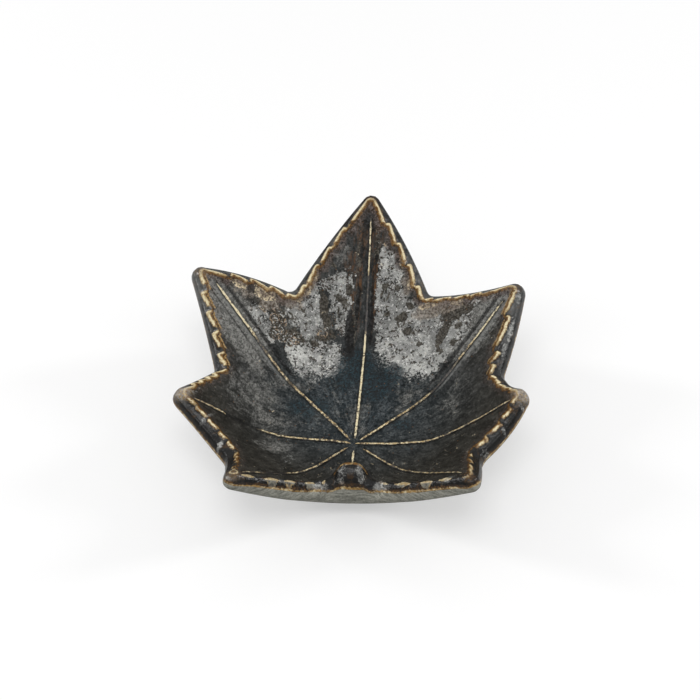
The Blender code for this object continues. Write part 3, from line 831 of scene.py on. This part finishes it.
def laySilver(f):
    broad, patch, grain, dots, sparks, cluster = f.broad, f.patch, f.grain, f.dots, f.sparks, f.cluster
    silver, worm = f.painted("silver"), f.cloud(1.3, 3, 0.55, at=f.warped(1.1, 1.2))
    # silver plates with crisp edges at the back, thinning out to specks towards the middle of the bowl
    ragged = patch * 1.3 + grain * 0.3 + broad * 0.6 - 1.1
    inside = silver + ragged
    low = f.between(f.painted("far"), 41.0, 33.0)
    crisp = f.between(inside, 0.44, 0.49)
    soft = f.between(inside + dots * 2.0 - 1.0, 0.2, 0.85)
    bloom = f.blend(low, crisp, soft) * f.between(silver, 0.02, 0.2)
    tone = broad * 1.8 + patch * 1.6 - 1.7
    tone = tone + low * 0.22 + f.painted("bright") * 0.5 - 0.15
    plate = f.two(tone, -0.45, 0.55, "silverMid", "silverLight")
    plate = f.mix(f.between(sparks + low * 0.03, 0.57, 0.65, 0.0, 0.75), plate, "silverWhite")
    thin = f.between(inside, 0.95, 0.45)
    few = f.between(cluster, 0.54, 0.42) * 0.1 + thin * 0.05 + 0.35
    pit = f.between(dots - few, 0.0, 0.035, 1.0, 0.0)
    crack = f.between(abs(worm - 0.47), 0.008, 0.024, 1.0, 0.0)
    crack = crack * f.between(cluster, 0.5, 0.4)
    plate = f.mix(pit.most(crack) * 0.92, plate, f.two(patch, 0.46, 0.56, "soot", "bark"))
    f.lay(bloom * 0.97, plate)
    # dark brown patches where the silver is missing
    hole = f.between(f.painted("blotch") + patch * 2.2 + grain * 0.6 - 1.4, 0.44, 0.5)
    fewer = f.between(f.cloud(1.6, 3, 0.6, at=f.warped(1.2, 1.6)), 0.385, 0.36)
    hole = hole.most(fewer * bloom)
    hole = hole.most(f.between(f.painted("bubble") + dots * 1.2 - 0.6, 0.45, 0.7))
    f.lay(hole * 0.95, f.two(dots, 0.44, 0.6, "hollow", "hollowLight"))
    return bloom


def layLace(f):
    broad, patch, dots, sparks, cluster = f.broad, f.patch, f.dots, f.sparks, f.cluster
    # brown lace between the plates
    laceLine = f.between(f.cells(1.9, at=f.warped(1.6, 2.2)), 0.04, 0.1, 1.0, 0.0)
    laceHere = f.between(f.painted("lace") + broad + patch * 1.6 - 1.3, 0.4, 0.5)
    f.lay(laceHere * f.between(sparks, 0.57, 0.52, 0.15, 0.95),
        f.two(dots, 0.46, 0.58, "hollow", "hollowLight"))
    f.lay(laceHere * f.between(sparks, 0.54, 0.6, 0.0, 0.8), "silverLight")
    thread = laceLine * laceHere * f.between(cluster * 0.6 + dots * 0.4, 0.48, 0.56)
    f.lay(thread, f.two(f.speck, 0.4, 0.56, "rust", "lace"))
    # tan lumps beside the hollows between the back lobes
    blush = f.between(f.painted("blush") + patch * 1.6 + dots * 0.8 - 1.2, 0.3, 0.7, 0.0, 0.8)
    f.lay(blush, f.two(sparks, 0.42, 0.58, "barkLight", "blush"))
    lump = f.between(f.painted("lump") + patch * 1.8 + dots * 0.8 - 1.3, 0.32, 0.5, 0.0, 0.95)
    f.lay(lump, f.two(dots, 0.4, 0.56, "barkLight", "lump"))


def layPools(f):
    patch, grain, stripe = f.patch, f.grain, f.painted("stripe")
    # teal where the glaze pooled
    pool = f.painted("teal") + patch * 1.1 - 0.55
    pool = f.between(pool + f.broad - 0.5, 0.4, 0.8)
    f.lay(pool * 0.85, f.ramp(f.fine, ((0.46, "soot"), (0.53, "teal"), (0.64, "tealLight"))))
    # near black in the valley beside the long vein and at its tip, dark glaze with painted shade of the
    # crease; on the middle of the stub it is a painted dark reflection
    f.lay(f.between(f.painted("valley") + patch * 1.6 - 0.8, 0.35, 0.6, 0.0, 0.9), "soot")
    # small rust flecks all over
    fleck = f.between(f.cells(2.9, "F1"), 0.05, 0.1, 1.0, 0.0)
    f.lay(fleck * 0.55, "rust")
    # silvery stripes that follow the back veins, dark stripes that are painted shade in the grooves beside
    # them, and painted contact shade against every vein
    f.lay(f.between(stripe, 0.15, 0.9) * f.between(grain, 0.36, 0.6, 0.1, 0.8), "silverMid")
    f.lay(f.between(stripe, -0.15, -0.9, 0.0, 0.8), "soot")
    f.lay(f.painted("veinContactShade") * 0.8, "soot")
    return pool


def layRim(f):
    broad, patch, grain, bead, edgeAt = f.broad, f.patch, f.grain, f.bead, f.edgeAt
    # outside the serrated line the glaze is dark and glossy with a little amber; the grey it takes on
    # towards the back and where the glaze is hazy is painted reflection
    outer = f.between(edgeAt, 0.1, -0.35)
    paintedReflection = f.between(broad * 0.6 + patch * 0.4, 0.43, 0.58) * f.painted("behind")
    band = f.mix(paintedReflection, "bandBlack", "bandGrey")
    band = f.mix(f.between(patch, 0.54, 0.64, 0.0, 0.7), band, "bandAmber")
    band = f.mix(f.haze * f.between(patch, 0.4, 0.58, 0.25, 0.75), band, "silverMid")
    f.lay(outer * 0.92, band)
    # glaze broken thin along the serrated line: cream on the edge, amber and a mauve glow behind it
    near = edgeAt + grain * 0.9 - 0.45
    creamShare = f.painted("glow") + f.cloud(3.0, 3, 0.6) * 2.0 - 1.0
    wide = f.between(creamShare, 0.2, 1.1) * 0.52 + 0.4
    inner = near - wide
    mauve = f.between(inner, 0.2, 0.7) * f.between(inner + broad * 3.0 - 1.5, 1.4, 3.4, 1.0, 0.0)
    lined = 1.0 - f.painted("plain")
    mauve = mauve * lined * (f.painted("halo") * f.between(patch, 0.38, 0.56, 0.25, 0.85))
    f.lay(mauve, f.two(f.fine, 0.44, 0.58, "bark", "mauve"))
    rimDark = f.between(inner, -0.1, 0.15) * f.between(inner, 0.55, 1.0, 1.0, 0.0)
    f.lay(rimDark * (lined * 0.85), f.two(grain, 0.42, 0.58, "bark", "amber"))
    line = f.between(near, -0.35, -0.1) * f.between(inner, -0.05, 0.25, 1.0, 0.0)
    f.lay(line * lined * f.between(creamShare, 0.0, 0.35) * 0.92, f.two(bead, 0.42, 0.6, "amber", "tan"))
    heart = f.between(near, -0.18, 0.02) * f.between(inner, -0.4, -0.12, 1.0, 0.0)
    heart = heart * lined * f.between(creamShare, 0.2, 0.55)
    f.lay(heart * 0.97, f.two(grain, 0.36, 0.5, "tan", "cream"))
    # a second, finer line inside the first on the outer sides of the back lobes
    second = f.between(abs(inner - 0.85), 0.12, 0.34, 1.0, 0.0) * f.between(f.painted("glow"), 0.5, 0.8)
    f.lay(second * f.painted("twin"), f.two(grain, 0.42, 0.56, "amber", "tan"))


def layFront(f):
    patch, grain, bead, dots = f.patch, f.grain, f.bead, f.dots
    # pale tongues across the front rim, cream along the top, and a thin brown arch round the stalk's stub
    shape = f.painted("tongue") + grain * 1.8 + patch * 3.4 - 2.6
    pale = f.between(shape, -0.15, 0.2)
    tongue = f.two(patch + grain, 0.8, 1.15, "bandGrey", "tongue")
    tongue = f.mix(f.between(shape, 0.65, 0.25) * f.between(bead, 0.44, 0.58), tongue, "tan")
    top = f.between(grain * 0.6 + f.painted("outward"), 1.55, 1.25)
    tongue = f.mix(top * 0.9, tongue, f.two(grain, 0.44, 0.64, "tan", "cream"))
    f.lay(pale * 0.9, tongue)
    # painted highlights: pale grey smears laid on the rim bands, the stub's sides and the tips
    paintedHighlight = f.between(f.painted("paintedHighlight") + grain + patch * 2.0 - 1.5, 0.26, 0.95)
    paintedHighlight = paintedHighlight * f.between(f.painted("paintedHighlight"), 0.05, 0.25)
    f.lay(paintedHighlight * 0.9, f.two(grain, 0.4, 0.66, "silverMid", "silverLight"))
    archAt = f.painted("arch") * f.between(grain, 0.34, 0.56, 0.3, 1.0)
    f.lay(f.between(archAt, 0.25, 0.65), f.two(bead, 0.44, 0.6, "amber", "tan"))
    # paler glaze on the tips, partly a painted highlight on their gloss, a small ring left by a bubble, and
    # amber
    bulb = f.painted("bulb") * f.between(patch + grain, 0.8, 1.2, 0.25, 0.85)
    f.lay(bulb, f.two(dots, 0.48, 0.62, "bulb", "tan"))
    toPearl = f.vector("SUBTRACT", f.place, (pearl["x"] + float(meet[0]), pearl["y"] + float(meet[1]), 0.0))
    toPearl = f.vector("MULTIPLY", toPearl, (1.0, pearl["squash"], 0.0))
    toPearl = f.math("SQRT", f.vector("DOT_PRODUCT", toPearl, toPearl, "Value"))
    ringGap = abs(grain * 0.2 + toPearl - pearl["radius"])
    ring = f.between(ringGap, pearl["wide"], pearl["wide"] * 0.4) * f.between(f.downAt, -0.1, -0.3)
    f.lay(ring * 0.95, f.two(grain, 0.38, 0.5, "tan", "cream"))
    burnt = f.painted("tip") * f.between(grain, 0.38, 0.6, 0.1, 0.8)
    burnt = burnt * f.between(f.painted("bulb"), 0.3, 0.8, 1.0, 0.25)
    f.lay(burnt, f.two(f.speck, 0.42, 0.58, "bark", "amber"))


def layClay(f):
    patch, grain, bead = f.patch, f.grain, f.bead
    # an amber skirt and a honey line where the glaze ends
    lineAt = f.downAt + patch * 0.16 + bead * 0.04 - 0.1
    skirt = f.between(lineAt, -0.24, -0.06) * f.between(lineAt, 0.02, 0.05, 1.0, 0.0)
    f.lay(skirt * f.between(bead, 0.38, 0.6, 0.35, 0.95), f.two(grain, 0.45, 0.6, "bark", "amber"))
    thick = f.between(f.broad, 0.42, 0.54, -0.002, 0.035)
    lip = f.between(lineAt + thick, -0.075, -0.03) * f.between(lineAt, 0.01, 0.04, 1.0, 0.0)
    f.lay(lip * f.between(patch, 0.38, 0.52, 0.3, 0.95),
        f.mix(f.between(grain * 0.5 + bead * 0.5, 0.46, 0.62, 0.0, 0.85), "honey", "cream"))
    # bare clay below that
    bare = f.between(lineAt, 0.015, 0.045)
    scrape = f.cloud(0.9, 5, 0.7, at=f.vector("MULTIPLY", f.place, (0.22, 0.22, 1.6)))
    f.lay(bare, f.two(scrape * 0.6 + grain * 0.4, 0.38, 0.62, "clayDark", "clay"))
    return bare


def makeGlaze():
    # each layer goes over the ones before it
    f = Finish("mottledDarkGlaze")
    shareClouds(f)
    layGround(f)
    bloom = laySilver(f)
    layLace(f)
    pool = layPools(f)
    layRim(f)
    layFront(f)
    bare = layClay(f)
    patch, grain, grit, edgeAt = f.patch, f.grain, f.grit, f.edgeAt
    rough = f.blend(bloom, grit * 0.15 + 0.2, 0.44)
    rough = f.blend(pool, rough, 0.15)
    rough = (rough + patch * 0.36 - 0.18).most(0.1)
    rough = f.blend(f.between(edgeAt, 0.3, -0.3), rough, f.between(patch, 0.4, 0.62, 0.07, 0.18))
    rough = f.blend(bare, rough, 0.88)
    shine = f.blend(f.between(f.pitted * 0.5 + grain * 0.5, 0.56, 0.44), 0.2, 0.03)
    shine = f.blend(pool, shine, 0.28)
    shine = f.blend(f.between(edgeAt, 0.4, -0.2), shine, f.painted("behind") * 0.2 + 0.32)
    shine = f.blend(bare, shine, 0.2)
    lumps = f.bump(patch, 0.4, 0.55)
    lines = f.bump(f.drag, 0.3, 0.5, lumps)
    calm = f.blend(f.between(edgeAt, 0.3, -0.3), grit * 0.8 + 0.2, 0.22)
    pits = f.bump((grain + f.speck * bloom) * calm, 0.22, 0.75, lines)
    return f.done({"Base Color": f.colour, "Roughness": rough, "Specular IOR Level": shine, "Normal": pits})


def makeLine():
    f = Finish("creamLine")
    grain = f.cloud(0.7, 5, 0.7)
    wear = f.cloud(2.2, 4, 0.65)
    bright = f.painted("bright")
    # bright stretches are paler cream; the one on the long vein from 37 to 46 mm is a painted highlight
    creamy = f.between(bright * 0.16 + grain, 0.44, 0.62)
    f.colour = f.mix(creamy, "tan", "cream")
    broken = f.cloud(0.9, 3, 0.6) + wear * 0.6
    f.lay(f.between(bright * -0.1 + broken, 0.76, 0.86, 0.0, 0.92), "bark")
    f.lay(f.painted("worn") * f.between(broken, 0.62, 0.8, 0.85, 1.0),
        f.two(grain, 0.46, 0.56, "soot", "bark"))
    # painted contact shade darkens the flanks of each vein where they meet the glaze
    flankShade = f.painted("crest") + grain * 0.5 - 0.25
    f.lay(f.between(flankShade, 0.86, 0.7, 0.0, 0.95), "soot")
    return f.done({"Base Color": f.colour, "Roughness": 0.38, "Normal": f.bump(grain, 0.15, 0.7)})


def makeClay():
    f = Finish("bareClay")
    grain = f.cloud(1.2, 6, 0.75)
    speck = f.between(f.cells(1.8, "F1"), 0.08, 0.16, 1.0, 0.0)
    f.colour = f.two(grain, 0.35, 0.65, "clayDark", "clay")
    f.lay(speck * 0.6, "rust")
    return f.done({"Base Color": f.colour, "Roughness": 0.88, "Normal": f.bump(grain, 0.25, 0.7)})


glazeMaterial, lineMaterial, clayMaterial = makeGlaze(), makeLine(), makeClay()
print("materials done")


def ovalReach(places, x, y, wide, long, turn=0):
    # distance from an oval's middle, 1 on its rim
    c, s = math.cos(math.radians(turn)), math.sin(math.radians(turn))
    dx, dy = places[:, 0] - x, places[:, 1] - y
    return np.hypot((c * dx + s * dy) / wide, (-s * dx + c * dy) / long)


def zoneValues(places, ovals):
    # a zone fades out just past the rim of each of its ovals
    return np.max([
        strength * np.exp(-0.7 * ovalReach(places, x, y, wide, long, *turn) ** 3)
        for x, y, wide, long, strength, *turn in ovals], axis=0)


def plateValues(places):
    # 1 well inside an area of silver, 0.5 on its edge
    out = np.zeros(len(places))
    flat = places[:, :2]
    for strength, area in plates:
        a = np.array(area)
        inside, gap = np.zeros(len(flat), bool), np.full(len(flat), 99.0)
        for p, q in zip(a, np.roll(a, -1, 0)):
            t = np.clip((flat - p) @ (q - p) / ((q - p) @ (q - p)), 0, 1)
            gap = np.minimum(gap, np.linalg.norm(flat - p - t[:, None] * (q - p), axis=1))
            crosses = (p[1] > flat[:, 1]) != (q[1] > flat[:, 1])
            crossing = p[0] + (flat[:, 1] - p[1]) * (q[0] - p[0]) / (q[1] - p[1] + 1e-9)
            inside ^= crosses & (flat[:, 0] < crossing)
        out = np.maximum(out, strength * np.clip(0.5 + np.where(inside, gap, -gap) / 8.0, 0, 1))
    return out


def ringValues(places, rings, wide):
    away = [np.hypot(places[:, 0] - x, places[:, 1] - y) - radius for x, y, radius in rings]
    return np.exp(-(np.abs(away).min(0) / wide) ** 2)


leafBody = makeMesh("leafBody", allPoints, faces, glazeMaterial)


def paintRings(name, rows, top=0.0, bottom=0.0):
    paintOn(leafBody, name, np.concatenate([*rows, [top, bottom]]))


paintRings("edge", body["edge"], farOff, -farOff)
paintRings("down", body["down"], 0.0, 1.0)
paintRings("outward", body["outward"], -30.0, 20.0)
paintRings("arch", body["arch"])
for name in ("glow", "halo", "twin", "plain"):
    paintRings(name, [pick(marks[name])] * rings)
for name, ovals in zones.items():
    paintOn(leafBody, name, zoneValues(allPoints, ovals))
blotchAway = np.min([ovalReach(allPoints, *oval) for oval in blotches], axis=0)
# pale tongues hang from the front rim, widest at the top
rimTop = 0.7
outward = np.concatenate(body["outward"])
gapHere, halfHere, deepHere = (np.tile(pick(marks[name]), rings) for name in ("gap", "half", "deep"))
run = (outward - rimTop) / np.maximum(deepHere, 0.1)
tongue = halfHere * np.clip(1 - run, 0, 1) ** 0.8 - gapHere
tongue = tongue - 4 * np.clip(rimTop - outward, 0, 9) - 3 * np.clip((run - 1) * deepHere, 0, 9)
paintRings("tongue", [np.maximum(tongue, -5)], -5.0, -5.0)

# painted contact shade against the veins, and stripes beside the two back ones, the dark ones painted shade
# in the grooves
flatPlaces = allPoints[:, :2]
upper = np.concatenate([np.repeat(np.arange(rings) < len(innerShares) + 4, samples), [True, False]])
veinContactShade, stripe = np.zeros(len(allPoints)), np.zeros(len(allPoints))
stripes = ((-3.0, 0.5, -0.7), (-1.3, 0.6, 1.0), (2.8, 0.9, -1.0))  # offset, width, strength
for name, v in veins.items():
    gap, far = besideVein(flatPlaces, name)
    within = smooth((flatPlaces @ polar(v["degrees"], 1.0) - 2.0) / 2.0) * upper
    veinContactShade = np.maximum(veinContactShade, within * np.exp(-((np.abs(gap) - 0.35) / 0.55) ** 2))
    if name.startswith("back"):
        mirrored = gap if name == "back_left_vein" else -gap
        fadeIn = smooth((far - 28) / 10) * within
        for offset, wide, strength in stripes:
            stripe += strength * fadeIn * np.exp(-((mirrored - offset) / wide) ** 2)
ahead = unit(flatPlaces)
tipPlaces = bowlPoint(np.array([polar(d, s * leaf["reach"]) for kind, d, s, _ in corners if kind == "tip"]))
tipDistance = np.min([np.linalg.norm(allPoints - t, axis=1) for t in tipPlaces], axis=0)
for name, values in {
    "silver": plateValues(allPoints), "blotch": np.clip(1.5 - blotchAway, 0, 1),
    "bubble": ringValues(allPoints, bubbles, bubbleWide), "tip": 1 - smooth((tipDistance - 1.0) / 2.6),
    "veinContactShade": veinContactShade, "stripe": stripe, "aheadX": ahead[:, 0], "aheadY": ahead[:, 1],
    "behind": 0.15 + 0.85 * smooth((flatPlaces[:, 1] - 2) / 14), "far": np.hypot(*flatPlaces.T),
}.items():
    paintOn(leafBody, name, values)
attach(leafBody, "root")
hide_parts("leaf_body")
print("leaf body done")


def makeVein(name, v):
    whole = veinPath(v, 0.35)
    reachNow = np.linalg.norm(whole, axis=1)
    strips = [np.ones(len(whole), bool)]
    if "gone" in v:
        strips = [reachNow < v["gone"][0], reachNow > v["gone"][1]]
    across = veinForm["across"]
    turns = np.linspace(0, math.pi, across)
    allP, allF, allWorn, allBright = [], [], [], []
    for keep in strips:
        path, reach = whole[keep], reachNow[keep]
        far, count = reach / reachNow[-1], len(path)
        wobble, beads = handMade(flatten(path), 1.1, 3.0), handMade(flatten(path), 1.9, 4.0)
        ends = smooth(np.arange(count) / 4) * smooth((count - 1 - np.arange(count)) / 6)
        wide, tipWide = veinForm["width"] * v.get("wide", 1.0), veinForm["tipWidth"] * v.get("tipWide", 1.0)
        wide = (wide * (1 - far) + tipWide * far) * (1 + 0.40 * wobble) * (0.25 + 0.75 * ends)
        tall = veinForm["height"] * (1 - 0.25 * far) * (1 + 0.60 * beads) * ends
        worn, bright = np.zeros(count), np.zeros(count)
        for low, high, strength in v.get("bright", ()):
            bright += strength * smooth((reach - low) / 5) * smooth((high - reach) / 5)
        for low, high in v.get("low", ()):
            worn = smooth((reach - low) / 3) * smooth((high - reach) / 3)
            tall *= 1 - 0.7 * worn
        ahead = unit(np.gradient(path, axis=0))
        aside = np.column_stack([ahead[:, 1], -ahead[:, 0]])
        grid = []
        for turn in turns:
            xy = path + aside * (wide / 2 * math.cos(turn))[:, None]
            sunk = veinForm["sunk"] * (abs(math.cos(turn)) > 0.99)
            grid.append(surface(xy) + bowlNormal(xy) * (tall * math.sin(turn) ** 0.8 - sunk)[:, None])
        start = sum(len(p) for p in allP)
        allP.append(np.stack(grid, 1).reshape(-1, 3))
        allWorn.append(np.repeat(worn, across))
        allBright.append(np.repeat(bright, across))
        allF += [tuple(start + i for i in face) for face in gridFaces(count, across)]
        allF.append(tuple(start + i for i in range(across)))
        allF.append(tuple(start + (count - 1) * across + i for i in reversed(range(across))))
    piece = makeMesh(name.title().replace("_", ""), np.vstack(allP), allF, lineMaterial)
    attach(piece, "root")
    paintOn(piece, "crest", np.tile(np.sin(turns), len(piece.data.vertices) // across))
    paintOn(piece, "worn", np.concatenate(allWorn))
    paintOn(piece, "bright", np.concatenate(allBright))
    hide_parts(name)


for name, v in veins.items():
    makeVein(name, v)
print("veins done")

foot = {"radius": 21.5, "width": 5.0, "edge": 1.0, "straight": 2.6, "gap": 0.3, "sides": 180}


def makeFoot():
    table = -meet[2] + footLow.z / mm
    e, outer = foot["edge"], foot["radius"]
    inner = outer - foot["width"]
    # radius and height above the table, or none where it meets the clay above
    section = [(inner, None), (inner, foot["straight"]), (inner, e)]
    section += [(inner + e * (1 - math.cos(a)), e * (1 - math.sin(a))) for a in (0.5, 1.0)]
    section += [(inner + e, 0.0), ((inner + outer) / 2, 0.0), (outer - e, 0.0)]
    section += [(outer - e * (1 - math.sin(a)), e * (1 - math.cos(a))) for a in (0.55, 1.05)]
    section += [(outer, e), (outer, foot["straight"]), (outer, None)]
    turns = np.linspace(0, 2 * math.pi, foot["sides"], endpoint=False)
    places = []
    for radius, height in section:
        xy = middle + np.column_stack([np.cos(turns), np.sin(turns)]) * radius
        if height is None:
            places.append(bowlPoint(xy) - bowlNormal(xy) * (clayDepth(xy) - foot["gap"])[:, None])
        else:
            places.append(np.column_stack([xy, np.full(len(xy), table + height)]))
    count = len(section) * foot["sides"]
    around = [[i % count for i in face] for face in gridFaces(len(section) + 1, foot["sides"])]
    piece = makeMesh("footRing", np.vstack(places), around, clayMaterial)
    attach(piece, "root")
    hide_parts("foot_ring")


makeFoot()
print("foot done")

studio = {
    "floor": 0.60, "half": 3.0, "lift": 0.40, "seenFar": (160, 450),
    "low": 0.20, "high": 0.66, "highFrom": 0.8,
}
# metres and watts, all aimed a little above the floor's middle
lights = {
    "topLight": {"place": (0.0, -0.30, 0.85), "size": (0.45, 0.30), "power": 2.0},
    "leftLight": {"place": (-0.75, 0.12, 0.47), "size": (0.15, 0.26), "power": 1.9},
    "rightLight": {"place": (0.75, 0.20, 0.45), "size": (0.15, 0.26), "power": 1.9},
}
lightAim = (0, 0, 0.02)
view = {
    "tilt": 49.0, "turn": 5.2, "roll": -1.46, "lens": 87.43, "sensor": 36,
    "place": (29.73, -334.15, 431.72),  # from where the veins meet
}
white = (1, 1, 1)


def makeStage():
    # a pale floor that fades into the white round it
    f = Finish("paleFloor")
    seen = f.node("LightPath", (), "Is Camera Ray")
    far = f.vector("LENGTH", f.place, output="Value")
    material = f.done({
        "Base Color": (studio["floor"],) * 3, "Roughness": 0.9, "Specular IOR Level": 0.0,
        "Emission Color": white, "Emission Strength": seen * studio["lift"],
    })
    clear = f.node("Emission")
    mixed = f.node("MixShader", (f.between(far, *studio["seenFar"]) * seen, f.shader.outputs[0], clear))
    f.put(f.tree.nodes["Material Output"].inputs[0], mixed)
    half = studio["half"]
    square = [(-half, -half, 0), (half, -half, 0), (half, half, 0), (-half, half, 0)]
    data = bpy.data.meshes.new("studioFloor")
    data.from_pydata(square, [], [(0, 1, 2, 3)])
    data.materials.append(material)
    floor = addObject("studioFloor", data)


def makeWorld():
    # soft light from all round, weaker from low down
    world = bpy.data.worlds.new("studio")
    bpy.context.scene.world = world
    world.use_nodes = True
    world.node_tree.nodes.clear()
    w = Nodes(world.node_tree)
    up = w.node("SeparateXYZ", (w.node("TexCoord", (), "Generated"),), "Z")
    soft = w.node("MapRange", (up, 0.0, studio["highFrom"], studio["low"], studio["high"]))
    shades = [w.node("Background", {"Color": white, "Strength": strength}) for strength in (soft, 1.0)]
    mixed = w.node("MixShader", (w.node("LightPath", (), "Is Camera Ray"), *shades))
    w.put(w.tree.nodes.new("ShaderNodeOutputWorld").inputs[0], mixed)


def addLight(name, place, size, power):
    data = bpy.data.lights.new(name, "AREA")
    data.shape = "RECTANGLE"
    data.size, data.size_y = size
    data.energy = power
    lamp = addObject(name, data)
    lamp.location = place
    lamp.rotation_euler = (Vector(lightAim) - Vector(place)).to_track_quat("-Z", "Y").to_euler()


makeStage()
makeWorld()
for name, light in lights.items():
    addLight(name, **light)

cameraData = bpy.data.cameras.new("camera")
cameraData.lens = view["lens"]
cameraData.sensor_width = view["sensor"]
cameraData.clip_start = 0.01
camera = addObject("camera", cameraData)
aim = Matrix.Identity(4)
for degrees, axis in ((view["turn"], "Z"), (90 - view["tilt"], "X"), (view["roll"], "Z")):
    aim = aim @ Matrix.Rotation(math.radians(degrees), 4, axis)
camera.matrix_world = Matrix.Translation(Vector((np.array(view["place"]) + meet) * mm)) @ aim
bpy.context.scene.camera = camera
bpy.context.scene.view_settings.view_transform = "Standard"
print("studio done")
